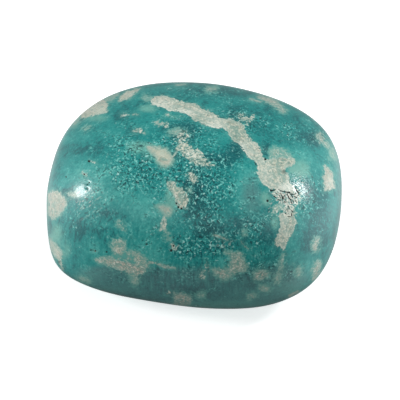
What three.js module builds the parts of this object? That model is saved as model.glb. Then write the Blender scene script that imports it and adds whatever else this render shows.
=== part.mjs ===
// A polished amazonite pebble: one cushion-shaped stone that rests on a small flat spot.
// Lengths are in millimetres, +Z is up and +X runs along the stone. The origin is on the
// flat spot's plane, under the middle of the stone's length and depth.
//
// The form is a plan outline carried up a profile. Both are superellipses, the curves
// between an ellipse and a rectangle. The outline is widest at the girdle. The profile
// closes over it in a dome and tucks in under it towards the flat spot. Broad, low swells
// and hollows then make it the uneven form of a stone shaped by hand.
import * as THREE from "three";

// The stone's reach from its middle, at the girdle
const halfLength = 20.8;
const frontReach = 15.1;
const backReach = 17.2;
const planSquareness = 2.78;

// Heights above and below the girdle. The flat spot is ground this far into the belly.
const domeHeight = 12.8;
const bellyDepth = 11.8;
const flatGround = 0.15;
const girdleHeight = bellyDepth - flatGround;

// How square the profile is at the stone's left (-X) and right (+X) ends
const domeSquareness = { left: 2.32, right: 2.33 };
const bellySquareness = { left: 3.5, right: 3.1 };

// How far the dome leans along X and Y for each millimetre of height
const leanX = 0.04;
const leanY = 0.04;

// Swells (+) and hollows (-): the direction from the middle of the girdle, as degrees round
// from +X and degrees up, then how far each one spreads in degrees, and its height.
const swells = [
  { name: "left heel", around: -154, up: -28, spread: 12, rise: 1.0 },
  { name: "left end", around: -166, up: -12, spread: 12, rise: -0.13 },
  { name: "left shoulder", around: 175, up: 20, spread: 14, rise: 0.41 },
  { name: "right end", around: 16, up: 8, spread: 14, rise: -0.38 },
  { name: "right shoulder", around: 47, up: 20, spread: 16, rise: -0.17 },
  { name: "back crown", around: 92, up: 25, spread: 22, rise: 0.5 },
  { name: "back left", around: 140, up: 15, spread: 18, rise: -0.21 },
  { name: "front belly right", around: -60, up: -25, spread: 18, rise: -0.16 },
  { name: "front belly left", around: -110, up: -25, spread: 18, rise: -0.43 },
  { name: "back belly right", around: 66, up: -22, spread: 24, rise: -0.55 },
  { name: "back belly left", around: 128, up: -26, spread: 20, rise: 0.3 },
];

// The mesh: columns round the stone, and rings from the flat spot's rim to the crown
const columns = 96;
const rings = 44;

const stoneColour = 0x3f8f8a;
const stoneRoughness = 0.22;

const mix = (from, to, share) => from + (to - from) * share;

// A superellipse's reach in the direction (across, along), with half axes of 1.
const reachOf = (across, along, squareness) =>
  (Math.abs(across) ** squareness + Math.abs(along) ** squareness) **
  (-1 / squareness);

// The unit vector at so many degrees round from +X and so many up.
function direction(around, up) {
  const turn = THREE.MathUtils.degToRad(around);
  const tilt = THREE.MathUtils.degToRad(up);
  return new THREE.Vector3(
    Math.cos(tilt) * Math.cos(turn),
    Math.cos(tilt) * Math.sin(turn),
    Math.sin(tilt),
  );
}

const swellDirections = swells.map((s) => direction(s.around, s.up));

// How far the swells lift the surface in a direction: each is a rounded bump that falls to
// 37% of its height at its spread.
function swellIn(unit) {
  return swells.reduce((sum, swell, i) => {
    const falloff = 1 - Math.cos(THREE.MathUtils.degToRad(swell.spread));
    const away = 1 - unit.dot(swellDirections[i]);
    return sum + swell.rise * Math.exp(-away / falloff);
  }, 0);
}

// The profile from the flat spot's rim (rise 0) to the crown (rise 1): what share of the
// plan's reach is left, and the height above the girdle. endShare is 0 at the right end of
// the stone and 1 at the left.
function profileAt(rise, endShare) {
  const belly = mix(bellySquareness.right, bellySquareness.left, endShare);
  const dome = mix(domeSquareness.right, domeSquareness.left, endShare);
  const rimDrop = girdleHeight / bellyDepth;
  const rimShare = (1 - rimDrop ** belly) ** (1 / belly);
  const rimAngle = -Math.atan2(rimDrop, rimShare);
  const angle = mix(rimAngle, Math.PI / 2, rise);
  const squareness = angle < 0 ? belly : dome;
  const height = angle < 0 ? bellyDepth : domeHeight;
  const reach = reachOf(Math.cos(angle), Math.sin(angle), squareness);
  return {
    share: reach * Math.cos(angle),
    height: height * reach * Math.sin(angle),
  };
}

// A point of the surface, from the turn round the stone in radians and the rise.
function stonePoint(turn, rise) {
  const [cos, sin] = [Math.cos(turn), Math.sin(turn)];
  const depthReach = sin < 0 ? frontReach : backReach;
  const planReach = reachOf(cos / halfLength, sin / depthReach, planSquareness);
  const { share, height } = profileAt(rise, (1 - cos) / 2);
  const point = new THREE.Vector3(
    planReach * share * cos,
    planReach * share * sin,
    height,
  );

  // Swells push outwards, and sideways only under the girdle, so the flat spot stays flat.
  const outward = new THREE.Vector3(point.x, point.y, Math.max(point.z, 0));
  const lift = swellIn(point.clone().normalize());
  point.addScaledVector(outward.normalize(), lift);

  point.x += leanX * point.z;
  point.y += leanY * point.z;
  point.z += girdleHeight;
  return point;
}

// The closed surface: rings of vertices, then one vertex in the flat spot and one on the
// crown, with every face wound to point out.
function stoneGeometry() {
  const points = [];
  for (let ring = 0; ring < rings; ring++) {
    for (let column = 0; column < columns; column++) {
      points.push(stonePoint((2 * Math.PI * column) / columns, ring / rings));
    }
  }
  const rim = points.slice(0, columns);
  rim.forEach((point) => point.setZ(0));
  const flatMiddle = rim
    .reduce((sum, point) => sum.add(point), new THREE.Vector3())
    .divideScalar(columns);
  const middleIndex = points.push(flatMiddle) - 1;
  const crownIndex = points.push(stonePoint(0, 1)) - 1;

  const faces = [];
  const topRing = (rings - 1) * columns;
  for (let column = 0; column < columns; column++) {
    const next = (column + 1) % columns;
    faces.push(middleIndex, next, column);
    faces.push(topRing + column, topRing + next, crownIndex);
    for (let low = 0; low < topRing; low += columns) {
      const high = low + columns;
      faces.push(low + column, low + next, high + next);
      faces.push(low + column, high + next, high + column);
    }
  }

  const geometry = new THREE.BufferGeometry().setFromPoints(points);
  geometry.setIndex(faces);
  geometry.computeBoundingBox();
  const middle = geometry.boundingBox.getCenter(new THREE.Vector3());
  geometry.translate(-middle.x, -middle.y, 0);
  geometry.computeVertexNormals();
  return geometry;
}

const amazonite = new THREE.Mesh(
  stoneGeometry(),
  new THREE.MeshStandardMaterial({
    color: stoneColour,
    roughness: stoneRoughness,
    metalness: 0,
  }),
);
amazonite.name = "amazonite";

const part = new THREE.Group();
part.add(amazonite);

export default part;
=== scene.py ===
# A polished amazonite pebble on a pale floor, seen as in its reference picture.
# Lengths are in millimetres in this script, and become metres where they go into Blender.
import math

import bpy
import numpy as np
from mathutils import Matrix, Vector


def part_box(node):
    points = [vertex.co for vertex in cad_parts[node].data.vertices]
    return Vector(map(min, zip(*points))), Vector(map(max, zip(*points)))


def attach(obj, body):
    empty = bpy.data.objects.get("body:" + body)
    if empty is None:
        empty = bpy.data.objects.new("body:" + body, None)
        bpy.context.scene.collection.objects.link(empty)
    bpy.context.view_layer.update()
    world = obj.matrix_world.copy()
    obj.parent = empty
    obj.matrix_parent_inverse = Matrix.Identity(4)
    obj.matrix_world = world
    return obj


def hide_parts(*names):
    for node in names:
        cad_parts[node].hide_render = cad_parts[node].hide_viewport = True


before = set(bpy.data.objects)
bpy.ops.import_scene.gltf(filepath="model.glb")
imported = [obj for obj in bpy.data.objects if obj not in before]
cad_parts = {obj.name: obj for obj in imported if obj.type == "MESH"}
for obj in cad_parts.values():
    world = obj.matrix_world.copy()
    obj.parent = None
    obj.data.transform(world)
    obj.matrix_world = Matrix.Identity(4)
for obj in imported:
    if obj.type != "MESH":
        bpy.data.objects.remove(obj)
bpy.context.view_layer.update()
mm = 0.001
nodeName = "amazonite"

# The picture: where its camera stood, and how the stone lies in its frame
picture = {
    "turn": 10.32,  # degrees round to the right of the stone's front
    "height": 42.0,  # degrees above the floor
    "distance": 400.0,
    "pixels": 400,  # width and height of the picture
    "pixelsPerMm": 7.05,  # at the stone's middle
    "middleAt": (196.1, 188.2),  # pixel of the stone's middle
    "sensor": 36.0,
    "clip": (10.0, 50000.0),  # nearest and farthest that the camera sees
}


# Vectors divided by their lengths
def unit(vector):
    return np.asarray(vector) / np.linalg.norm(vector, axis=-1, keepdims=True)


# The unit vector at so many degrees round from +X and so many degrees up
def direction(around, up):
    a, e = math.radians(around), math.radians(up)
    return np.array([math.cos(e) * math.cos(a), math.cos(e) * math.sin(a), math.sin(e)])


# Camera axes in the stone's frame: to the right, up, and back towards the camera
cameraBack = direction(picture["turn"] - 90, picture["height"])
cameraRight = direction(picture["turn"], 0)
cameraUp = np.cross(cameraBack, cameraRight)

boxLow, boxHigh = (np.array(corner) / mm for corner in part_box(nodeName))
stoneMiddle = (boxLow + boxHigh) / 2
pixelOffset = (np.array(picture["middleAt"]) - picture["pixels"] / 2) / picture["pixelsPerMm"]
cameraPlace = (
    stoneMiddle
    + picture["distance"] * cameraBack
    - pixelOffset[0] * cameraRight
    + pixelOffset[1] * cameraUp
)


# Where points fall in the picture, in pixels, and how much they face the camera (1 full on,
# 0 edge on, below 0 turned away)
def seenAt(points, normals):
    toPoint = points - cameraPlace
    depth = -(toPoint @ cameraBack)
    scale = picture["distance"] * picture["pixelsPerMm"] / depth
    half = picture["pixels"] / 2
    pixels = np.stack(
        [half + toPoint @ cameraRight * scale, half - toPoint @ cameraUp * scale], -1
    )
    facing = (unit(-toPoint) * normals).sum(-1)
    return pixels, facing


# The stone's form, with the same driving sizes as the solid that it stands for
stone = {
    "halfLength": 20.8,
    "frontReach": 15.1,
    "backReach": 17.2,
    "planSquareness": 2.78,
    "domeHeight": 12.8,
    "bellyDepth": 11.8,
    "flatGround": 0.15,
    "domeSquareness": (2.33, 2.32),  # at the right end, at the left end
    "bellySquareness": (3.1, 3.5),
    "lean": (0.04, 0.04),
    # around, up, spread in degrees, and rise
    "swells": {
        "left heel": (-154, -28, 12, 1.0),
        "left end": (-166, -12, 12, -0.13),
        "left shoulder": (175, 20, 14, 0.41),
        "right end": (16, 8, 14, -0.38),
        "right shoulder": (47, 20, 16, -0.17),
        "back crown": (92, 25, 22, 0.5),
        "back left": (140, 15, 18, -0.21),
        "front belly right": (-60, -25, 18, -0.16),
        "front belly left": (-110, -25, 18, -0.43),
        "back belly right": (66, -22, 24, -0.55),
        "back belly left": (128, -26, 20, 0.3),
    },
    "columns": 440,
    "rings": 196,
    "flatRings": 24,
    "frontShare": 0.5,  # how far the columns crowd to the front, from 0 to 1
    "frontTurn": -72.0,  # degrees round to where they are closest
    "shoulderShare": 0.3,  # the same for the rings
    "shoulderRise": 0.6,
}
girdle = stone["bellyDepth"] - stone["flatGround"]


# A superellipse's reach in the direction (across, along):
# (|across|^n + |along|^n)^(-1/n)
def reachOf(across, along, squareness):
    return (np.abs(across) ** squareness + np.abs(along) ** squareness) ** (-1 / squareness)


# first + (last - first) * share
def between(first, last, share):
    return first + (last - first) * share


# How far the swells lift the surface in each unit direction: the sum of
# rise * exp(-(1 - cos(angle to the swell)) / (1 - cos(spread)))
def swellIn(units):
    lift = np.zeros(units.shape[:-1])
    for around, up, spread, rise in stone["swells"].values():
        away = 1 - units @ direction(around, up)
        lift += rise * np.exp(-away / (1 - math.cos(math.radians(spread))))
    return lift


# The stone's surface as a function of the turn round it (radians) and the rise from the
# flat spot's rim (0) to the crown (1): the plan's superellipse, times the profile's
# superellipse, pushed outwards by the swells and leant over by so much for each mm of height
def stoneSurface(turn, rise):
    cos, sin = np.cos(turn), np.sin(turn)
    depthReach = np.where(sin < 0, stone["frontReach"], stone["backReach"])
    planReach = reachOf(cos / stone["halfLength"], sin / depthReach, stone["planSquareness"])
    endShare = (1 - cos) / 2
    dome = between(*stone["domeSquareness"], endShare)
    belly = between(*stone["bellySquareness"], endShare)
    rimDrop = girdle / stone["bellyDepth"]
    rimAngle = -np.arctan2(rimDrop, (1 - rimDrop**belly) ** (1 / belly))
    angle = rimAngle + (math.pi / 2 - rimAngle) * rise
    squareness = np.where(angle < 0, belly, dome)
    height = np.where(angle < 0, stone["bellyDepth"], stone["domeHeight"])
    reach = reachOf(np.cos(angle), np.sin(angle), squareness)
    across = planReach * reach * np.cos(angle)
    point = np.stack([across * cos, across * sin, height * reach * np.sin(angle)], -1)
    outward = unit(point * [1, 1, 0] + np.maximum(point, 0) * [0, 0, 1])
    point = point + outward * swellIn(unit(point))[..., None]
    point[..., 0] += stone["lean"][0] * point[..., 2]
    point[..., 1] += stone["lean"][1] * point[..., 2]
    point[..., 2] += girdle
    return point


# All the stone's points: rings on the flat spot, rings up to the crown, then the flat
# spot's middle and the crown. Columns crowd to the front, turn = u - k sin(u - front), and
# rings crowd to the shoulder in the same way.
def stonePoints():
    u = 2 * math.pi * np.arange(stone["columns"]) / stone["columns"]
    front = math.radians(stone["frontTurn"])
    turn = u - stone["frontShare"] * np.sin(u - front)
    v = np.arange(stone["rings"]) / stone["rings"]
    sway = np.sin(2 * math.pi * (v - stone["shoulderRise"]))
    rise = v - stone["shoulderShare"] * (sway - sway[0]) / (2 * math.pi)
    sides = stoneSurface(turn[None, :] + 0 * rise[:, None], rise[:, None] + 0 * turn[None, :])
    sides[0, :, 2] = 0
    flatMiddle = sides[0].mean(0)
    share = np.arange(1, stone["flatRings"]) / stone["flatRings"]
    flat = flatMiddle + (sides[0] - flatMiddle) * share[:, None, None]
    crown = stoneSurface(np.array(0.0), np.array(1.0))
    rings = np.concatenate([flat, sides])
    points = np.concatenate([rings.reshape(-1, 3), [flatMiddle, crown]])
    shift = stoneMiddle - (points.min(0) + points.max(0)) / 2
    shift[2] = 0
    return points + shift, len(rings)


# Quads between the rings and a fan at each end, all wound to face out
def stoneFaces(ringCount):
    columns = stone["columns"]
    column = np.arange(columns)
    following = (column + 1) % columns
    low = columns * np.arange(ringCount - 1)[:, None]
    quads = np.stack(
        [low + column, low + following, low + columns + following, low + columns + column], -1
    ).reshape(-1, 4)
    flatMiddle, crown = columns * ringCount, columns * ringCount + 1
    top = columns * (ringCount - 1)
    bottomFan = np.stack([np.full(columns, flatMiddle), following, column], -1)
    topFan = np.stack([top + column, top + following, np.full(columns, crown)], -1)
    return quads, np.concatenate([bottomFan, topFan])


# Outward normals of the points: each face adds the cross product of its diagonals, and a
# triangle's last corner stands for its third and fourth
def pointNormals(points, *faceSets):
    normals = np.zeros_like(points)
    for faces in faceSets:
        first, second, third, last = (points[faces[:, corner]] for corner in (0, 1, 2, -1))
        normal = np.cross(third - first, last - second)
        for column in faces.T:
            np.add.at(normals, column, normal)
    return unit(normals)


farAway = 1e3  # farther than anything on the stone, in mm or in pixels
tiny = 1e-9


# How deep points lie inside a stroke: along each leg of its line, the width there less the
# distance to the leg, and the most of these over the legs. Below 0 is outside.
def strokeDepth(points, line):
    line = np.asarray(line, float)
    depth = np.full(len(points), -farAway)
    for start, end in zip(line[:-1], line[1:]):
        leg = end[:-1] - start[:-1]
        along = np.clip((points - start[:-1]) @ leg / max(leg @ leg, tiny), 0, 1)
        nearest = start[:-1] + along[:, None] * leg
        width = start[-1] + along * (end[-1] - start[-1])
        depth = np.maximum(depth, width - np.linalg.norm(points - nearest, axis=-1))
    return depth


# How deep points lie inside a closed outline: the distance to its nearest side, and minus
# that outside it, where a level line from the point crosses an even number of sides
def outlineDepth(points, outline):
    corners = np.asarray(outline, float)
    nearest = np.full(len(points), farAway)
    inside = np.zeros(len(points), bool)
    for start, end in zip(corners, np.roll(corners, -1, 0)):
        leg = end - start
        along = np.clip((points - start) @ leg / (leg @ leg), 0, 1)
        away = np.linalg.norm(points - start - along[:, None] * leg, axis=-1)
        nearest = np.minimum(nearest, away)
        if leg[1]:
            crossed = (start[1] > points[:, 1]) != (end[1] > points[:, 1])
            crossing = start[0] + (points[:, 1] - start[1]) * leg[0] / leg[1]
            inside ^= crossed & (points[:, 0] < crossing)
    return np.where(inside, nearest, -nearest)


# Kinds of albite: "edge" is how soft the rim is, "ragged" and "fringe" how far it wanders in
# broad and in fine steps, in pixels of the picture, or in mm on the hidden sides. "solid" is
# how much of the teal is covered, and "webbed" how much of a teal web runs through it.
albiteKinds = {
    "vein": {"edge": 0.7, "ragged": 1.1, "fringe": 0.9, "solid": 0.97, "webbed": 0.35},
    "soft": {"edge": 2.8, "ragged": 1.6, "fringe": 0.6, "solid": 0.9, "webbed": 0.15},
    "speckled": {"edge": 0.9, "ragged": 1.5, "fringe": 2.2, "solid": 0.95, "webbed": 1},
    "faint": {"edge": 2.4, "ragged": 2.2, "fringe": 1.6, "solid": 0.55, "webbed": 0.6},
    "veiled": {"edge": 2.3, "ragged": 2, "fringe": 1.3, "solid": 0.84, "webbed": 0.75},
    "fleck": {"edge": 0.9, "ragged": 1.2, "fringe": 1.2, "solid": 0.85, "webbed": 0.8},
    "thread": {"edge": 0.8, "ragged": 0.6, "fringe": 0.6, "solid": 0.6, "webbed": 0.2},
    "rim": {"edge": 2, "ragged": 1.6, "fringe": 0.9, "solid": 0.88, "webbed": 0.3},
    "hidden": {"edge": 0.24, "ragged": 0.42, "fringe": 0.2, "solid": 0.85, "webbed": 0.4},
}


# A spot of albite: its kind, how pink it is, its points, and what differs from its kind. Its
# rims are in mm from here on.
def spot(kind, blush, points, **changes):
    look = {**albiteKinds[kind], "blush": blush, **changes}
    for rim in ("edge", "ragged", "fringe"):
        look[rim] /= 1 if kind == "hidden" else picture["pixelsPerMm"]
    return points, look


# The albite on the side that the picture shows, in pixels of the picture: outlines through
# (x, y), and lines through (x, y, half width)
albite = {
    "main vein": spot("vein", 0.25, [
        (149, 101), (152, 98.5), (156, 96.5), (162, 95.5), (168, 96.5), (174, 98.5), (180, 100.5),
        (185, 102.5), (191, 102.8), (197, 104.5), (202, 108), (207, 110.5), (213, 112.5), (217, 115),
        (220, 118), (224, 119), (229, 118.5), (234, 120), (239, 122.5), (243, 125), (245.5, 128),
        (246, 133), (249, 137), (253, 140.5), (257, 144), (260, 148.5), (262, 153), (263, 157),
        (265, 160), (262, 163), (256.5, 163), (251, 159), (247, 155), (243.5, 150), (240.5, 146),
        (237, 143), (233, 141), (230, 136), (227, 131), (223, 128.5), (217, 128), (211, 127),
        (205, 125), (199, 122), (193, 119.5), (188, 115), (182, 112.5), (176, 112), (170, 111),
        (164, 108.5), (158, 107), (153, 104.5),
    ]),
    "vein's tip": spot("faint", 0.4, [(144, 97.5, 1.5), (149, 99, 2.5)]),
    "big patch": spot("vein", 0.1, [
        (258, 159), (263, 161.5), (267, 160), (272, 158.5), (280, 157), (287, 157), (293, 157),
        (295.5, 161), (295, 164.5), (290, 166.5), (286.5, 167), (285, 170), (287.5, 173), (289.5, 177),
        (290.5, 181), (292, 185), (295, 187), (298, 191), (294, 192.5), (288, 192), (281, 191),
        (274, 190), (270, 188.5), (266, 186), (262, 182), (259, 177), (257.5, 171), (257, 166),
        (257.5, 162),
    ]),
    "mint lobe": spot("veiled", -0.1, [
        (270.5, 158), (270.5, 153), (271.5, 150), (275, 148), (280, 148.5), (285, 150), (289, 153),
        (292, 156), (294, 159), (286, 158), (278, 158),
    ], solid=0.66),
    "cracked ground": spot("speckled", 0.05, [
        (273, 190), (298, 191), (300, 197), (297, 203), (291, 205), (284, 204), (278, 202), (274, 198),
        (272, 194),
    ]),
    "pebbly foot": spot("speckled", 0.15, [
        (285, 202), (293, 202), (295, 209), (296, 218), (281, 218), (283, 210),
    ]),
    "foot": spot("vein", 0.15, [
        (281, 213), (286, 211), (293, 212), (296, 219), (296.5, 224), (295, 229), (292, 234),
        (289.5, 238), (287, 243), (285, 248), (283.5, 253), (282, 249), (280, 245.5), (277, 247),
        (274.5, 245), (275.5, 240), (278, 233), (280, 227), (279.5, 222), (279, 217),
    ]),
    "foot's frost": spot("faint", 0, [(275, 210, 3), (281, 206, 2.5)]),
    "foot's trail": spot("faint", 0.2, [
        (283.5, 254, 0.8), (282, 263, 1.4), (280, 271, 1.2), (277, 281, 2.8),
    ]),
    "upper left": spot("rim", 0.35, [
        (76, 121), (79, 113), (86, 107), (94, 101), (101, 97.5), (105, 100), (107.5, 103.5), (108, 109),
        (106, 112.5), (100, 114.5), (92, 116.5), (84, 119),
    ], edge=1.2),
    "upper left bridge": spot("faint", 0.3, [(107, 99, 1.6), (117, 95, 2)]),
    "upper left haze": spot("faint", 0.2, [(74, 124, 2), (80, 116, 4)], solid=0.3),
    "upper left second": spot("rim", 0.35, [
        (118, 100), (121, 95), (126, 91.5), (132, 89.5), (140, 88.5), (137, 91.5), (132, 95.5),
        (127, 99), (121, 101),
    ], edge=1.2),
    "wreath": spot("speckled", 0.05, [
        (178.5, 138, 1.8), (180, 133.5, 1.6), (185, 132.5, 1.6), (187, 136, 1.6), (184, 139.5, 1.6),
        (180, 140, 1.8),
    ]),
    "wreath's wisp": spot("faint", 0, [(171, 133, 1.5), (178, 131.5, 2.5)]),
    "speckled band": spot("speckled", 0.1, [
        (179, 141), (184, 141), (188, 143), (192, 148), (199, 149.5), (203, 154), (204, 159),
        (208, 162.5), (214, 164.5), (208, 166.5), (200, 165), (194, 164.5), (190, 160.5), (185, 157),
        (181, 152.5), (177, 150), (178, 145),
    ]),
    "soft slant": spot("soft", 0.25, [
        (147, 147), (153, 146.5), (160, 147.5), (166, 149), (170, 153), (173, 159), (171, 164),
        (166, 167), (161, 165), (157, 160), (154, 155), (149, 151),
    ]),
    "slant's thread": spot("thread", 0, [(172, 158, 0.9), (178, 150, 0.9)]),
    "small knot": spot("speckled", 0.1, [
        (187.5, 173.5), (192, 172.5), (195.5, 175), (196.5, 181), (194, 184), (191.5, 181),
        (189.5, 178),
    ]),
    "short vein": spot("fleck", 0.15, [
        (166.5, 181), (170.5, 181.5), (174.5, 183.5), (177, 187), (181, 187.5), (185, 190),
        (187, 194.5), (188.5, 199.5), (187.5, 204.5), (185, 208.5), (180, 209), (177, 205.5),
        (175.5, 200), (174, 196), (171.5, 191.5), (168.5, 187.5),
    ], solid=0.95),
    "short vein's wisps": spot("faint", 0, [(184, 190, 0.6), (190, 190, 1)]),
    "soft smudge": spot("soft", 0.5, [
        (157, 206), (163, 205), (170, 206.5), (173, 210), (171, 215), (166, 216.5), (162, 212),
    ], solid=0.62),
    "ring": spot("fleck", 0.15, [
        (163.5, 216.5), (166, 219), (167, 224), (166, 228.5), (162, 230), (160, 230.5), (160.5, 225),
        (161.5, 220),
    ], solid=0.97, ragged=0.7, fringe=0.8),
    "ring's drop": spot("faint", 0.4, [(165, 230, 1), (168, 235, 1.6), (168, 239, 1.2)]),
    "grey dot": spot("faint", 0.5, [(119, 223.5, 2), (120, 225, 2)]),
    "grey dot below": spot("faint", 0.3, [(122.5, 227, 1.8), (123, 229, 1.8)]),
    "lower upper lobe": spot("veiled", 0.45, [
        (112, 243), (114, 239.5), (118, 238), (123, 240), (126, 244), (126, 248), (124, 252),
        (122, 256), (121, 261), (115, 260), (114, 253), (112, 248),
    ], solid=0.7),
    "lower band": spot("veiled", 0.8, [
        (95, 259.5), (101, 258), (108, 257.5), (114, 258.5), (120, 260), (128, 262), (136, 265),
        (143, 266), (148, 262), (150, 263), (146, 269), (143, 274), (140, 276), (135, 275.5),
        (129, 273), (122, 270.5), (114, 267.5), (107, 265), (100, 262),
    ], solid=0.92),
    "lower lobe": spot("veiled", 0.4, [
        (127, 253), (132, 250.5), (138, 252.5), (143, 256.5), (147, 261), (147, 266), (143, 271.5),
        (137, 270), (134, 263), (130, 258),
    ], solid=0.72),
    "lower thread": spot("thread", 0.4, [
        (149, 262, 1), (157, 263.5, 1.1), (165, 266.5, 1.6), (175, 268, 0.8),
    ]),
    "lower haze": spot("faint", 0.2, [(119, 255, 6), (135, 258, 6)], solid=0.35),
    "lower tail": spot("faint", 0.4, [(134, 273, 3.5), (135, 281, 3.5)]),
    "pale grains": spot("fleck", 0.1, [(172, 245, 1.4), (174, 248, 1.6)]),
    "bottom patch": spot("veiled", 0.9, [
        (174, 293), (181, 293), (190, 296), (192, 300), (190, 306), (174, 306),
    ], solid=0.6, edge=1.6),
    "wedge": spot("veiled", 0.55, [
        (229, 253.5), (236, 254), (241, 253.5), (243.5, 260), (246, 266), (246.5, 270), (240, 271),
        (235, 273.5), (229, 272), (229.5, 264), (232, 260), (231, 256),
    ]),
    "wedge's side": spot("veiled", 0.8, [
        (213, 269.5), (219, 268), (225, 268.5), (230, 270), (232, 275), (227, 279), (223, 279.5),
        (218, 276.5), (214, 273),
    ], solid=0.66),
    "wedge's tip": spot("faint", 0, [(225, 252, 0.8), (231, 254, 1.6)]),
    "brown patch": spot("veiled", 0.9, [
        (254, 274), (259, 270.5), (265, 271), (269, 273), (266, 278), (259, 280), (254, 281),
    ], solid=0.62),
    "streak": spot("thread", 0, [(214, 235, 0.8), (220, 236.5, 1.2), (228, 240.5, 0.7)], solid=0.48),
    "pale dot": spot("faint", 0.1, [(244, 231, 1.4), (245, 235, 1.4)], solid=0.4),
    "hair": spot("thread", 0, [(241, 241, 0.6), (244, 246, 0.7), (249, 249, 0.5)], solid=0.35),
    "left edge": spot("rim", 0.75, [
        (48, 194), (52, 191), (57, 190.5), (61, 193), (64, 197), (66.5, 201.5), (66, 205.5), (63, 210),
        (60, 215), (56, 218), (52, 220), (48, 215),
    ], solid=0.78, edge=1.7),
    "left crescent": spot("rim", 0.5, [
        (49, 238), (54, 242.5), (59, 247.5), (62, 253), (62.5, 258.5), (60, 260.5), (56, 258),
        (51, 251),
    ]),
    "crescent's foot": spot("fleck", 0.2, [(60, 260, 2), (62.3, 269, 1.2)]),
    "left foot": spot("faint", 0.6, [(80, 278.5, 1.4), (88, 280.5, 1.8)]),
    "right edge": spot("rim", 0.85, [
        (325, 165.5), (329, 168), (332.5, 173), (334, 180), (335.5, 188), (330, 190.5), (325, 190.5),
        (323.5, 184), (323, 177), (324.5, 170),
    ], edge=1.4),
    "right lower": spot("veiled", 0.8, [(317, 240, 2.2), (315, 248, 2.6)], solid=0.8),
    "right foot": spot("veiled", 0.8, [(318.5, 264, 2.6), (316, 271, 3.4), (314, 278, 2)]),
    "right shoulder": spot("veiled", 0.7, [(319.5, 135, 2.4), (322, 140, 3)], edge=1.4),
    "right shoulder low": spot("veiled", 0.8, [(325.5, 143.5, 1.8), (328, 146.5, 1.8)]),
    "right shoulder rim": spot("faint", 0.2, [(332, 151, 2.5), (333.5, 158, 2)]),
    "upper right streak": spot("veiled", 0.7, [
        (259, 97, 1.4), (267, 99.5, 2.4), (275, 103.5, 3), (284, 110.5, 1.4),
    ]),
    "upper right dash": spot("thread", 0, [(250, 99, 0.9), (261, 102, 0.9)]),
    "ragged fleck": spot("speckled", 0.2, [
        (239, 115.5, 1), (243, 118.5, 2.8), (248, 120, 3), (252, 116.5, 1.8),
    ]),
    "white dash": spot("fleck", 0.2, [(121.5, 115.4, 0.9), (127, 114.4, 1.1)]),
    "second dash": spot("thread", 0, [(133, 114.5, 0.8), (138, 114, 0.8)]),
    "left dash": spot("faint", 0.3, [(84.5, 129.5, 0.7), (88.5, 126.5, 0.9)]),
    "middle dash": spot("fleck", 0.3, [(134, 131, 1), (140, 130.5, 2.4), (144, 132, 1.4)]),
    "long dash": spot("speckled", 0.1, [(156, 123, 1.2), (161, 124, 1.6), (166, 125, 1.8)]),
    "bright dot": spot("fleck", 0, [(166, 114.5, 1), (167.5, 114.5, 1)]),
    "top dash": spot("thread", 0.2, [(176, 85, 0.9), (185, 84.5, 0.8)]),
    "top right dash": spot("faint", 0.4, [(208, 89, 1.6), (215, 89, 1.6)]),
    # These three pale flecks are painted glints on the pits' rims
    "shoulder's glint": spot("fleck", 0.1, [(91, 161.6, 1.2), (95, 162.5, 0.9)]),
    "glint over highlight": spot("fleck", 0, [(81, 173, 1), (86.5, 175.2, 1.2)]),
    "glint by the low pits": spot("fleck", 0.2, [(93, 250.6, 0.5), (97, 252, 0.6)]),
    "highlight's fleck": spot("veiled", 0.4, [(69, 195, 1.6), (76, 194, 2.4)]),
    "grey mottle": spot("speckled", 0.3, [(205, 263, 1), (208, 269, 2), (203, 272, 1.6)], solid=0.5),
    "grey mottle low": spot("fleck", 0.1, [(201, 276.5, 1.6), (203, 277.5, 1.4)]),
    "bottom fleck": spot("faint", 0.6, [(199, 295, 1.3), (203, 295, 1.3)]),
    "bottom dot": spot("fleck", 0.1, [(168.5, 293, 1.5), (169.5, 293, 1.5)]),
    "lower right fleck": spot("faint", 0.8, [(262, 288, 2.8), (267, 289, 2.4)]),
    "lower right second": spot("faint", 0.8, [(249, 297, 2), (254, 295, 2)]),
    "right low dot": spot("faint", 0.3, [(298, 269, 1.8), (299, 275, 1.8)]),
    "edge streak": spot("thread", 0.9, [(289, 296, 1.2), (298, 291.5, 1.4)]),
}

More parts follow.
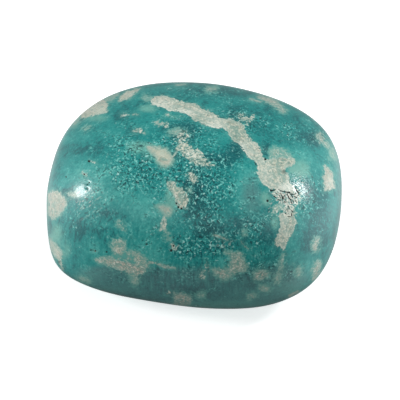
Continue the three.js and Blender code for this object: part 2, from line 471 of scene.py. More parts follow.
# The albite on the sides that the picture doesn't show: lines through (degrees round from +X,
# degrees up, half width in mm)
hiddenAlbite = {
    "vein over the back": spot("hidden", 0.1, [
        (112, 52, 0.5), (100, 38, 0.9), (84, 22, 1.1), (70, 8, 0.8), (62, -8, 1), (52, -24, 0.5),
    ], solid=0.95),
    "back branch": spot("hidden", 0.2, [
        (84, 22, 0.8), (98, 14, 1.3), (108, 4, 0.9), (112, -6, 0.4),
    ], solid=0.9),
    "back left patch": spot("hidden", 0.35, [(140, 20, 0.9), (148, 12, 1.6), (146, 2, 1.2)]),
    "back left low": spot("hidden", 0.5, [(160, -12, 0.8), (150, -18, 1.1), (140, -26, 0.6)], solid=0.75),
    "back right patch": spot("hidden", 0.4, [(30, 26, 0.7), (36, 18, 1.3), (30, 10, 1)]),
    "back right low": spot("hidden", 0.4, [(24, -14, 0.6), (34, -20, 1.2), (44, -20, 0.5)], solid=0.8),
    "underside vein": spot("hidden", 0.3, [
        (-170, -40, 0.6), (-160, -62, 0.9), (-100, -80, 1.2), (10, -72, 0.9), (24, -50, 0.5),
    ], solid=0.9),
    "underside patch": spot("hidden", 0.4, [(-70, -56, 1), (-60, -64, 1.8), (-40, -66, 1)]),
    "underside back patch": spot("hidden", 0.3, [(100, -46, 0.8), (110, -56, 1.5), (130, -58, 0.8)]),
    "top flecks": spot("hidden", 0.2, [(150, 62, 0.5), (160, 56, 0.7)], solid=0.8),
    "back dash": spot("hidden", 0.2, [(66, 30, 0.2), (58, 28, 0.4), (52, 30, 0.2)]),
    "back fleck": spot("hidden", 0.1, [(122, 2, 0.3), (127, -1, 0.5)], solid=0.8),
    "back smudge": spot("hidden", 0.5, [(68, -14, 0.6), (80, -19, 0.8)], solid=0.5, edge=0.5),
    "back low dash": spot("hidden", 0.3, [(98, -24, 0.2), (107, -26, 0.6), (118, -23, 0.2)], solid=0.75),
    "back thread": spot("hidden", 0.1, [(126, 32, 0.1), (133, 24, 0.2), (135, 15, 0.1)], solid=0.7),
    "right end fleck": spot("hidden", 0.4, [(8, -20, 0.4), (13, -25, 0.6)], solid=0.6, edge=0.4),
    "left end fleck": spot("hidden", 0.3, [(172, 3, 0.3), (167, 8, 0.5)], solid=0.7),
    "left end smudge": spot("hidden", 0.5, [(177, -24, 0.8), (169, -29, 0.7)], solid=0.5, edge=0.5),
    "underside dash": spot("hidden", 0.2, [(152, -50, 0.2), (142, -57, 0.5)], solid=0.8),
    "underside smudge": spot("hidden", 0.4, [(28, -55, 0.8), (44, -60, 1)], solid=0.5, edge=0.5),
}

# Rounded zones of the picture side: pixel, half width and half height in pixels, amount.
# In the teal, "grain" is how granular it is, "toneAndShade" paler (+) or deeper (-), partly the
# teal's own paler and deeper places and partly painted light and shade, "streaky" how streaked,
# "grey" and "mint" its tints, "grey" partly painted shade and reflection on the low band and the
# right rim, and "stain" how dark. In the albite, "sage" and "white" are its tints, "white" also a
# painted highlight over the cracked ground and painted glints by the pits. "scratched" is wear,
# scratches, and "frostAndGlare" a white bruise, and at the two highlights and round the cracks a
# painted spread of highlight.
zones = {
    "grain": {
        "upper middle": (155, 165, 45, 26, 1), "centre": (205, 190, 35, 50, 0.9),
        "upper right": (248, 124, 24, 18, 0.6), "right shoulder": (300, 134, 25, 18, 0.5),
        "right": (308, 195, 14, 25, 0.8), "left": (92, 208, 28, 14, 0.4),
        "left middle": (125, 180, 30, 15, 0.6), "lower middle": (200, 245, 55, 18, 0.5),
        "under foot": (258, 232, 22, 22, 0.45), "lower right": (270, 275, 30, 14, 0.4),
        "upper left middle": (118, 140, 22, 16, 0.5), "top middle": (185, 122, 45, 14, 0.35),
        "top": (215, 92, 50, 8, 0.3), "lower left": (110, 235, 45, 22, 0.2),
        "low band": (180, 272, 80, 14, 0.25),
    },
    # Painted light and shade among these: painted bounce light along the bottom rim and at the lower
    # right ("pale bottom", "pale bottom left", "pale low left rim", "pale low middle", "pale low right",
    # "bright lower right"), painted sheen round the highlights ("pale over highlight", "pale left
    # middle", "bright right"), and painted shade at the top edge, in the middle, low down and beside the
    # right lamp ("dark top", "dark middle", "dark low band", "low middle", "dark by the lamp")
    "toneAndShade": {
        "pale middle left": (135, 203, 34, 12, 0.6), "pale upper left": (134, 148, 18, 12, 0.6),
        "bright right": (304, 160, 17, 14, 0.9), "left shoulder": (92, 146, 18, 10, -0.3),
        "dark left streak": (112, 213, 12, 5, -0.9), "dark neck": (238, 149, 12, 10, -1.6),
        "dark by mint lobe": (265.5, 150, 5, 8, -1.5), "dark over band": (183, 132, 15, 8, -1.8),
        "dark left of band": (174, 160, 7, 22, -0.7), "dark beside band": (212, 160, 15, 7, -0.9),
        "dark right of band": (227, 163, 8, 6, -0.8), "pale under elbow": (220, 144, 10, 10, 0.4),
        "dark middle": (200, 200, 15, 38, -0.8), "dark at small knot": (191, 190, 7, 18, -1.6),
        "dark right of middle": (225, 186, 6, 12, -0.5), "dark by low grains": (178, 249, 8, 9, -1),
        "dark left shoulder": (86, 150, 16, 7, -0.7), "pale over dark shoulder": (80, 139, 20, 6, 0.8),
        "pale left middle": (106, 178, 22, 24, 1.1), "pale middle left low": (138, 212, 12, 14, 0.4),
        "pale over shoulder": (113, 132, 13, 10, 0.7), "dark at left dash": (88, 128, 10, 5, -0.5),
        "pale middle": (150, 232, 26, 24, 0.6), "pale beside patch": (247, 188, 13, 28, 1.2),
        "dark low left": (88, 234, 14, 9, -0.5), "dark over streak": (212, 231, 15, 7, -0.6),
        "dark right of streak": (247, 222, 12, 8, -1.1), "pale over cracks": (284, 150, 14, 9, 0.5),
        "pale under foot": (256, 250, 16, 8, 0.9), "pale over low middle": (187, 230, 9, 8, 0.7),
        "dark low middle": (214, 238, 26, 18, -0.5), "dark under foot": (264, 244, 18, 14, -0.7),
        "dark upper right": (300, 140, 26, 10, -0.3), "dark right of fleck": (262, 126, 12, 12, -0.4),
        "bright lower right": (306, 268, 15, 14, 0.8), "dark right of foot": (305, 248, 11, 13, -0.5),
        "deep right": (319, 228, 12, 28, -1.1), "pale right of foot": (300, 207, 5, 12, 0.8),
        "blue shoulder": (124, 118, 12, 13, -0.8), "dark by the dash": (133, 134, 7, 9, -0.8),
        "dark corner": (315, 138, 9, 8, -1.4), "dark right rim": (326, 192, 7, 12, -0.8),
        "pale low left": (150, 254, 20, 14, 0.8), "pale by low pits": (95, 249, 14, 10, 0.9),
        "pale by the wedge": (222, 262, 9, 7, 1.5), "pale elbow": (226, 138, 6, 7, 0.6),
        "pale neck": (258, 138, 8, 6, 0.7), "pale over tip": (138, 128, 14, 16, 0.35),
        "low middle": (262, 276, 26, 14, -0.7), "dark low band": (188, 293, 24, 7, -2),
        "pale low right": (288, 288, 28, 12, 2.3), "pale right of foot's tip": (290, 245, 6, 6, 0.8),
        "pale bottom": (218, 305, 70, 5, 2.8), "pale low middle": (240, 292, 26, 9, 1.1),
        "pale low band": (172, 268, 30, 8, 0.5), "pale bottom left": (112, 290, 44, 7, 1.8),
        "dark left rim": (54, 160, 8, 14, -0.4), "pale over highlight": (76, 172, 14, 12, 0.5),
        "dark by highlight": (66, 195, 13, 6, -1.3), "dark low left rim": (76, 226, 13, 10, -0.5),
        "dark beside fleck": (236, 115, 12, 9, -1.2), "dark top": (206, 92, 44, 7, -0.7),
        "dark by the lamp": (308, 195, 7, 13, -0.9), "pale low left rim": (94, 275, 16, 6, 1.6),
        "dark under thread": (160, 272, 16, 5, -0.5),
    },
    "streaky": {
        "lower middle": (222, 262, 34, 24, 1), "lower left": (160, 278, 34, 18, 0.8),
        "left": (62, 232, 12, 14, 0.7), "left middle": (104, 230, 40, 18, 0.7),
        "beside patch": (249, 192, 12, 26, 0.6), "low": (205, 286, 100, 18, 1),
    },
    # The low band, bottom rim, low left and lower right entries paint the greyish shade and reflection of
    # the band that turns under the stone; "right rim" paints a greyish reflection along the right rim
    "grey": {
        "blue middle": (251, 196, 14, 28, 0.7), "low band": (186, 287, 112, 20, 1.25),
        "low left": (112, 272, 34, 9, 0.5), "bottom rim": (205, 302, 80, 7, 0.8),
        "lower right": (285, 275, 30, 16, 0.4), "beside foot": (268, 225, 9, 18, 0.4),
        "right rim": (331, 214, 6, 30, 0.42),
    },
    "mint": {
        "under upper left": (97, 118, 14, 5, 0.9), "left of slant": (139, 147, 14, 8, 1),
        "under vein's tip": (148, 109, 12, 5, 1), "along the vein": (176, 117, 16, 4, 0.6),
        "by the mint lobe": (274, 151, 7, 4, 0.8), "right of big patch": (301, 170, 10, 11, 1.3),
        "big patch's notch": (291, 170, 4, 3, 0.8), "left of short vein": (173, 198, 9, 12, 1.4),
        "under slant": (150, 158, 9, 6, 0.6), "beside the cracks": (266, 200, 7, 10, 1.1),
        "left of smudge": (155, 208, 8, 5, 0.4), "left edge": (56, 234, 7, 12, 1.1),
        "beside crescent": (67, 251, 5, 12, 0.7), "beside foot": (275, 223, 5, 8, 1),
        "under band": (180, 157, 6, 5, 0.5),
    },
    "stain": {
        "in the big patch": (284, 171.5, 3, 2.6, 1), "in the lobe": (281.5, 163, 1.6, 1.2, 0.8),
        "lobe's edge": (289, 163, 1.4, 3, 0.5), "crescent's notch": (59, 262, 2, 1.6, 0.9),
        "corner of upper left": (110, 105.5, 2.2, 1.6, 0.7), "over band": (184, 131, 4, 1.6, 0.7),
        "wreath's middle": (183, 136, 2.2, 1.8, 0.9), "ring's middle": (163.6, 222.5, 1.3, 3.6, 0.7),
        "beside short vein": (188, 206, 3, 4, 0.5), "pebbles": (288.5, 210.5, 4.5, 4.5, 0.8),
    },
    "sage": {
        "along the vein": (205, 117, 22, 6, 0.35), "vein's elbow": (235, 131, 9, 9, 0.6),
        "neck's middle": (247, 147, 7, 8, 0.6), "middle of the big patch": (273, 173, 10, 12, 0.3),
        "foot's middle": (287, 230, 6, 12, 0.35), "lower patches": (130, 264, 40, 20, -0.1),
        "wedge": (232, 264, 22, 14, 0.4), "soft slant": (163, 156, 11, 10, -0.5),
        "mint lobe": (279, 153, 9, 4, 0.8), "left edge": (56, 203, 12, 14, -0.9),
        "right edge": (329, 178, 8, 14, -0.4), "right lower": (316, 245, 6, 9, -0.6),
        "upper left": (94, 108, 18, 9, -0.7), "upper left second": (126, 94, 13, 6, -0.5),
    },
    "white": {
        "vein's low edge": (216, 127, 12, 4, 1.5), "vein's left edge": (180, 112, 14, 3, 1.2),
        "vein's left third": (164, 104, 14, 7, 1.6), "vein's middle": (190, 112, 18, 7, 1),
        "vein's elbow": (216, 121, 14, 7, 1.3), "vein's tip": (152, 105, 8, 5, 0.8),
        "foot": (283, 230, 7, 26, 1), "foot's top": (289, 216, 6, 6, 0.5),
        "big patch": (266, 172, 11, 15, 1.3), "neck": (250, 150, 12, 13, 1.2),
        "upper left": (94, 107, 16, 8, 1.3), "upper left second": (130, 94, 10, 5, 1),
        "ring": (163, 223, 4, 8, 1.2), "neck's left rim": (241, 147, 4, 5, 1.2),
        "speckled band": (192, 154, 9, 7, 1.5), "wreath": (183, 136, 6, 5, 1),
        # "cracked ground" paints the right highlight's spread over the cracks white, and "glints by the
        # pits" paints glints on the pits' rims
        "big patch's foot": (284, 187, 10, 4, 0.8), "cracked ground": (288, 197, 14, 11, 3),
        "white dash": (124.5, 114.7, 5, 3, 1.8), "glints by the pits": (89, 168, 10, 9, 1.8),
        "right edge": (330, 183, 5, 9, 1.4), "short vein": (183, 196, 4, 10, 0.6),
        "left crescent": (57, 253, 5, 10, 1),
    },
    "scratched": {
        "right highlight": (298, 186, 9, 12, 1),
    },
    # White bruising below the cracks, beside the wedge and under the ring; at the two highlights and
    # round the cracks, a painted spread of highlight
    "frostAndGlare": {
        "round the cracks": (285, 202, 14, 11, 1.3), "below the cracks": (280, 211, 8, 6, 1.1),
        "right highlight": (299, 187, 6, 9, 1.5), "left highlight": (86, 200, 14, 14, 0.6),
        "beside the wedge": (226, 244, 10, 6, 0.4), "under the ring": (176, 247, 6, 5, 0.6),
    },
}

# The same on the sides not shown: its mean, and how far slow waves change it
hiddenZones = {
    "grain": (0.25, 0.7), "toneAndShade": (0, 0.7), "streaky": (0.3, 0.3), "grey": (0.15, 0.5),
    "sage": (0.2, 0.4), "white": (0.4, 0.8), "mint": (-0.2, 1.2),
}
hiddenWave = {
    "length": 17.0,
    "turns": [(20, 10), (95, 45), (150, -35)],  # degrees round and up
    "turnEach": 50,  # degrees further round for each next zone
}

# Small holes where grains have broken out: pixel, radius in pixels, depth in mm
pits = {
    "shoulder": (88.7, 161, 1.3, 0.16), "left": (65.8, 176.7, 0.9, 0.1),
    "over highlight": (84, 174, 1, 0.12), "highlight first": (88.8, 182.5, 0.9, 0.12),
    "highlight second": (87.2, 184.4, 0.9, 0.12), "highlight third": (87.2, 188.3, 1.1, 0.12),
    "low left first": (91, 250.3, 1.1, 0.14), "low left second": (95, 251, 1, 0.14),
    "low left third": (106.5, 252, 1, 0.1), "by the ring": (146.7, 244.3, 1, 0.12),
    "by the ring second": (142.5, 240.5, 0.7, 0.1), "lower middle": (171, 250.7, 1.3, 0.14),
    "lower middle second": (173.5, 246, 1, 0.12), "middle": (154, 174.4, 1, 0.12),
    "neck": (265.4, 158.9, 1.1, 0.2), "beside the cracks": (267.5, 200.7, 1.2, 0.2),
    "crack's end": (271.5, 190.3, 1.1, 0.2), "short vein's foot": (178.4, 207.3, 1.1, 0.18),
    "short vein's foot second": (181.4, 208.6, 1, 0.16), "short vein": (176.5, 203.5, 0.9, 0.12),
}

# Cracks: a line through pixels, each with the crack's half width in pixels
cracks = {
    "upper crack": [(270.5, 190.3, 0.7), (273, 190.6, 0.5), (276, 189.3, 0.2)],
    "upper crack middle": [(278.5, 189.3, 0.3), (282, 191.2, 0.3), (286, 192, 0.5), (290, 192.6, 0.6)],
    "upper crack end": [(290.5, 194, 0.5), (293.5, 194.5, 0.4), (296.5, 193.4, 0.2)],
    "highlight crack": [(295, 187, 0.2), (296.5, 190, 0.4), (298.3, 192.7, 0.7)],
    "highlight crack low": [(298.3, 192.7, 0.6), (298, 196, 0.2)],
    "left dot": [(276, 193, 0.3), (277.2, 193.8, 0.3)],
    "left hook": [(274.3, 196.3, 0.6), (276, 197.3, 0.3)],
    "left low": [(278, 199.3, 0.3), (280.3, 200.4, 0.5)],
    "middle tick": [(279, 195, 0.2), (280.5, 197.5, 0.3)],
    "middle hook": [(280.5, 193.5, 0.3), (282.3, 196, 0.4), (283, 198.5, 0.9)],
    "middle fork": [(285, 194.5, 0.2), (284, 197, 0.3)],
    "long stroke": [(287.2, 194.3, 0.6), (288.6, 197, 0.5), (290.8, 199.9, 0.6)],
    "long stroke's foot": [(291, 201, 0.3), (292.2, 203.5, 0.4)],
    "right tick": [(291.5, 195.5, 0.3), (293, 198, 0.3)],
    "right stroke": [(294.5, 196.5, 0.3), (296.8, 197.4, 0.5)],
    "right low": [(295, 200, 0.3), (296.6, 202.4, 0.3)],
    "right low tick": [(293.3, 200.5, 0.3), (294, 202.5, 0.2)],
    "short dash": [(284.5, 201.5, 0.3), (286, 202.3, 0.2)],
    "pebble first": [(288.2, 205.6, 0.3), (289.8, 208.2, 0.3)],
    "pebble second": [(291.8, 210.5, 0.4), (293, 212, 0.4)],
    "pebble third": [(291.3, 213, 0.3), (292, 215.8, 0.4)],
    "pebble fourth": [(285.5, 213.3, 0.4), (286.5, 214, 0.2)],
    "pebble fifth": [(288, 216.4, 0.3), (291, 216.6, 0.2)],
    "lobe line": [(271.5, 157.8, -0.3), (279, 158, -0.1), (287, 158.8, -0.2), (293, 161, -0.4)],
    "lower band line": [(120.5, 262, -0.3), (129, 264.3, -0.1), (136, 266, -0.2)],
    "thread line": [(147.5, 264.5, -0.1), (151.5, 265.5, -0.2)],
    "patch's side": [(255, 162.5, 0.4), (256.3, 165, 0.3)],
    "shoulder scratch": [(314, 217.5, -0.1), (321, 218.5, -0.2)],
}
crackZone = (286, 197, 11.5, 7.5)  # pixel, half width and half height

# How marks pass from the side that the picture shows to the others. Facing is 1 where the
# stone faces the camera full on, 0 at its outline and below 0 past it.
passing = {
    "pastOutline": 6.0,  # mm of depth that the picture's albite has lost at -1 of facing
    "hiddenGain": 12.0,  # mm that the hidden albite loses for each 1 of facing, and at most
    "hiddenMost": 6.0,
    "zoneGain": 1.6,  # the picture's share of a zone is facing * gain + middle
    "zoneMiddle": 0.75,
    "leastFacing": 0.1,  # pits and cracks end here
}

# What the albite's marks hold where there is no albite
bare = {
    "albite": -3.0, "edge": 0.15, "ragged": 0.3, "fringe": 0.2, "solid": 0.8, "blush": 0.3,
    "webbed": 0.0,
}
bareDepth = -2.0  # the same for the depths of pits and cracks
pitLength = 0.1  # a pit is a stroke of so many pixels
legSteps = 6  # places on the stone for each leg of a hidden line


# A soft round zone: 1 in its middle, falling to 0 as exp(-(dx/w)^2 - (dy/h)^2)
def zoneAt(pixels, x, y, width, height):
    away = ((pixels[:, 0] - x) / width) ** 2 + ((pixels[:, 1] - y) / height) ** 2
    return np.exp(-away)


# The stone's markings at each point. Depths and rims are in mm, "pixel" is in pixels, and the
# rest are shares.
def stoneMarks(points, normals):
    pixels, facing = seenAt(points, normals)
    perMm = picture["pixelsPerMm"]
    marks = {name: np.full(len(points), value) for name, value in bare.items()}

    # Where spots overlap, a point takes the look of the one that it lies deepest in
    def lay(depth, look):
        deeper = depth > marks["albite"]
        marks["albite"] = np.where(deeper, depth, marks["albite"])
        for name, value in look.items():
            marks[name] = np.where(deeper, value, marks[name])

    past = np.clip(-facing, 0, 1) * passing["pastOutline"]
    for line, look in albite.values():
        inside = outlineDepth if len(line[0]) == 2 else strokeDepth
        lay(inside(pixels, line) / perMm - past, look)
    inSight = np.clip(facing * passing["hiddenGain"], 0, passing["hiddenMost"])
    units = unit(points - [0, 0, girdle])
    for line, look in hiddenAlbite.values():
        onStone = []
        for start, end in zip(line[:-1], line[1:]):
            for share in np.linspace(0, 1, legSteps):
                towards = between(direction(*start[:2]), direction(*end[:2]), share)
                nearest = points[np.argmax(units @ towards)]
                onStone.append((*nearest, between(start[2], end[2], share)))
        lay(strokeDepth(points, onStone) - inSight, look)

    seen = np.clip(facing * passing["zoneGain"] + passing["zoneMiddle"], 0, 1)
    for number, (zone, places) in enumerate(zones.items()):
        shown = sum(amount * zoneAt(pixels, *place) for *place, amount in places.values())
        mean, swing = hiddenZones.get(zone, (0, 0))
        further = hiddenWave["turnEach"] * number
        turns = [(around + further, up) for around, up in hiddenWave["turns"]]
        hidden = mean + swing * ripple(points, hiddenWave["length"], turns)
        marks[zone] = shown * seen + hidden * (1 - seen)

    inView = facing > passing["leastFacing"]
    for name, value in (("pit", bareDepth), ("pitDepth", 0.0), ("crack", bareDepth)):
        marks[name] = np.full(len(points), value)
    for x, y, radius, deep in pits.values():
        depth = strokeDepth(pixels, [(x, y, radius), (x + pitLength, y, radius)]) / perMm
        marks["pit"] = np.maximum(marks["pit"], np.where(inView, depth, bareDepth))
        marks["pitDepth"] += np.where(inView, deep * zoneAt(pixels, x, y, radius, radius), 0)
    for line in cracks.values():
        depth = np.where(inView, strokeDepth(pixels, line) / perMm, bareDepth)
        marks["crack"] = np.maximum(marks["crack"], depth)
    hidden = np.where(facing > 0, 0, farAway)
    marks["pixel"] = np.stack([pixels[:, 0], pixels[:, 1], hidden], -1)
    marks["broken"] = zoneAt(pixels, *crackZone) * seen
    return marks


# Low relief under the polish, in mm: slow waves, grooves along the cracks, and small lumps
# where the stone is broken
relief = {
    "wave": 0.02, "waveLength": 7.0, "waveTurns": [(20, 30), (130, -10), (75, 60)],
    "crackDepth": 0.05, "crackWidth": 0.1,
    "lump": 0.012, "lumpLength": 0.8, "lumpTurns": [(15, 20), (100, 35), (160, -40)],
}


# The mean of sine waves in turned directions, sin(2 pi distance / length + start)
def ripple(points, length, turns):
    total = np.zeros(len(points))
    for around, up in turns:
        total += np.sin(points @ direction(around, up) * 2 * math.pi / length + around)
    return total / len(turns)


# How far the surface rises: wave - pits - groove exp(-(distance / width)^2) + broken lumps
def reliefOf(points, marks):
    wave = relief["wave"] * ripple(points, relief["waveLength"], relief["waveTurns"])
    lump = relief["lump"] * ripple(points, relief["lumpLength"], relief["lumpTurns"])
    away = np.clip(-marks["crack"] / relief["crackWidth"], 0, 9)
    groove = relief["crackDepth"] * np.exp(-away ** 2)
    return wave - marks["pitDepth"] - groove + (lump - relief["lump"]) * marks["broken"]


# Puts points and faces into a mesh, with the marks as point attributes
def makeMesh(name, points, quads, fans, marks):
    mesh = bpy.data.meshes.new(name)
    mesh.vertices.add(len(points))
    mesh.vertices.foreach_set("co", (points * mm).astype(np.float32).ravel())
    corners = np.concatenate([quads.ravel(), fans.ravel()])
    sizes = np.concatenate([np.full(len(quads), 4), np.full(len(fans), 3)])
    mesh.loops.add(len(corners))
    mesh.loops.foreach_set("vertex_index", corners.astype(np.int32))
    mesh.polygons.add(len(sizes))
    starts = np.cumsum(sizes) - sizes
    mesh.polygons.foreach_set("loop_start", starts.astype(np.int32))
    mesh.update(calc_edges=True)
    mesh.polygons.foreach_set("use_smooth", np.ones(len(sizes), bool))
    for markName, values in marks.items():
        kind, field = ("FLOAT", "value") if values.ndim == 1 else ("FLOAT_VECTOR", "vector")
        layer = mesh.attributes.new(markName, kind, "POINT")
        layer.data.foreach_set(field, values.astype(np.float32).ravel())
    mesh.validate()
    return mesh


# A noise node's own values stay within about 0.2 to 0.8: these gains spread them from there
noiseGain = 3.2
swayGain = 4
shiftWay = (0.37, -0.61, 0.83)


# One output of a shader tree. Operators on it add Math nodes, and numbers may stand on
# either side of them.
class Wire:
    def __init__(self, tree, socket=None):
        self.tree = tree
        self.socket = socket

    # Adds a node of a type: its settings first, then its sockets' values or wires
    def node(self, kind, settings=None, inputs=None, output=0):
        made = self.tree.nodes.new("ShaderNode" + kind)
        settings = dict(settings or {})
        stops = settings.pop("stops", None)
        for name, value in settings.items():
            setattr(made, name, value)
        if stops:
            while len(made.color_ramp.elements) < len(stops):
                made.color_ramp.elements.new(1)
            for element, (place, colour) in zip(made.color_ramp.elements, stops):
                element.position = place
                element.color = (*colour, 1)
        for name, value in (inputs or {}).items():
            socket = made.inputs[name]
            if isinstance(value, Wire):
                self.tree.links.new(value.socket, socket)
            elif isinstance(value, tuple) and socket.type == "RGBA":
                socket.default_value = (*value, 1)
            else:
                socket.default_value = value
        return Wire(self.tree, None if output is None else made.outputs[output])

    def math(self, operation, *values):
        return self.node("Math", {"operation": operation}, dict(enumerate(values)))

    # Vector Math on two vectors, or a vector and its scale
    def vector(self, operation, first, second):
        slot = 3 if operation == "SCALE" else 1
        output = 1 if operation in ("DOT_PRODUCT", "DISTANCE") else 0
        return self.node("VectorMath", {"operation": operation}, {0: first, slot: second}, output)

    def __add__(self, other):
        return self.math("ADD", self, other)

    __radd__ = __add__

    def __sub__(self, other):
        return self.math("SUBTRACT", self, other)

    def __rsub__(self, other):
        return self.math("SUBTRACT", other, self)

    def __mul__(self, other):
        return self.math("MULTIPLY", self, other)

    __rmul__ = __mul__

    def __truediv__(self, other):
        return self.math("DIVIDE", self, other)

    # How deep this place lies inside one leg of a line, whose ends are (x, y, half width)
    def leg(self, first, last):
        run = (last[0] - first[0], last[1] - first[1], 0)
        length = run[0] ** 2 + run[1] ** 2
        offset = self.vector("SUBTRACT", self, (*first[:2], 0))
        along = self.vector("DOT_PRODUCT", offset, tuple(r / length for r in run))
        along = self.node("Math", {"operation": "ADD", "use_clamp": True}, {0: along, 1: 0})
        away = self.vector("DISTANCE", offset, self.vector("SCALE", run, along))
        return first[2] + along * (last[2] - first[2]) - away

    # 0 below low, 1 above high, and a smooth step between
    def step(self, low, high):
        values = {"Value": self, "From Min": low, "From Max": high}
        return self.node("MapRange", {"interpolation_type": "SMOOTHSTEP"}, values)

    # One colour turned by a share of 0 to 1 into another
    def blend(self, first, second, share):
        return self.node("Mix", {"data_type": "RGBA"}, {0: share, 6: first, 7: second}, output=2)

    # This colour, turned by a share into another
    def into(self, colour, share):
        return self.blend(self, colour, share)

    # A texture at these coordinates, with features of so many mm
    def texture(self, kind, size, output=0, **values):
        inputs = {"Vector": self, "Scale": 1 / (size * mm), **values}
        return self.node("Tex" + kind, None, inputs, output)

    # Smooth noise, from about -1 to 1
    def noise(self, size, detail=2.0, roughness=0.5, warp=0.0):
        raw = self.texture("Noise", size, Detail=detail, Roughness=roughness, Distortion=warp)
        return (raw - 0.5) * noiseGain

    # Another output of the node that this one comes from
    def other(self, name):
        return Wire(self.tree, self.socket.node.outputs[name])

    # The red of this colour, as a number
    def red(self):
        return self.node("SeparateColor", None, {"Color": self})

    # These coordinates moved a long way off, so that noises on them don't match
    def shifted(self, far):
        return self.vector("ADD", self, tuple(far * way for way in shiftWay))

    # These coordinates pushed about by noise of so many mm, by up to about so many mm
    def bent(self, size, push):
        sway = self.texture("Noise", size, output=1, Detail=1)
        centred = self.vector("SUBTRACT", sway, (0.5, 0.5, 0.5))
        return self.vector("ADD", self, self.vector("SCALE", centred, push * mm * swayGain))

    # These coordinates for a pattern that is turned by degrees about X, Y and Z, and
    # stretched so many times along its own axes
    def turned(self, degrees, stretch):
        rotation = tuple(math.radians(d) for d in degrees)
        values = {"Vector": self, "Rotation": rotation, "Scale": stretch}
        return self.node("Mapping", {"vector_type": "TEXTURE"}, values)


# An empty tree for a material or a world, as a first wire in it
def emptyTree(item):
    item.use_nodes = True
    item.node_tree.nodes.clear()
    return Wire(item.node_tree)


# The stone's colours, as linear light, and its finish. Sizes are in mm.
amazoniteLook = {
    "deepTeal": (0.003, 0.155, 0.165),
    "teal": (0.014, 0.315, 0.298),
    "paleTeal": (0.078, 0.490, 0.440),
    "mint": (0.200, 0.530, 0.440),
    "greyTeal": (0.110, 0.225, 0.232),
    "fleck": (0.210, 0.670, 0.600),
    "spark": (0.450, 0.820, 0.760),
    "halo": (0.150, 0.480, 0.410),
    "darkFleck": (0.002, 0.058, 0.068),
    "white": (0.880, 0.920, 0.805),
    "sageLine": (0.130, 0.185, 0.150),
    "cream": (0.640, 0.665, 0.525),
    "pinkCream": (0.550, 0.490, 0.405),
    "greyCream": (0.300, 0.450, 0.375),
    "brown": (0.180, 0.140, 0.095),
    "stain": (0.020, 0.090, 0.075),
    # Painted shade in the pits and cracks
    "recessShade": (0.003, 0.010, 0.010),
    "fleckSpacing": 0.52,
    "fleckSize": 0.11,
    "roughness": 0.30,
    "coatRoughness": 0.10,
    "bumpDepth": 0.06,
    "bumpStrength": 0.6,
    "coat": 0.3,
    "refraction": 1.5,
}


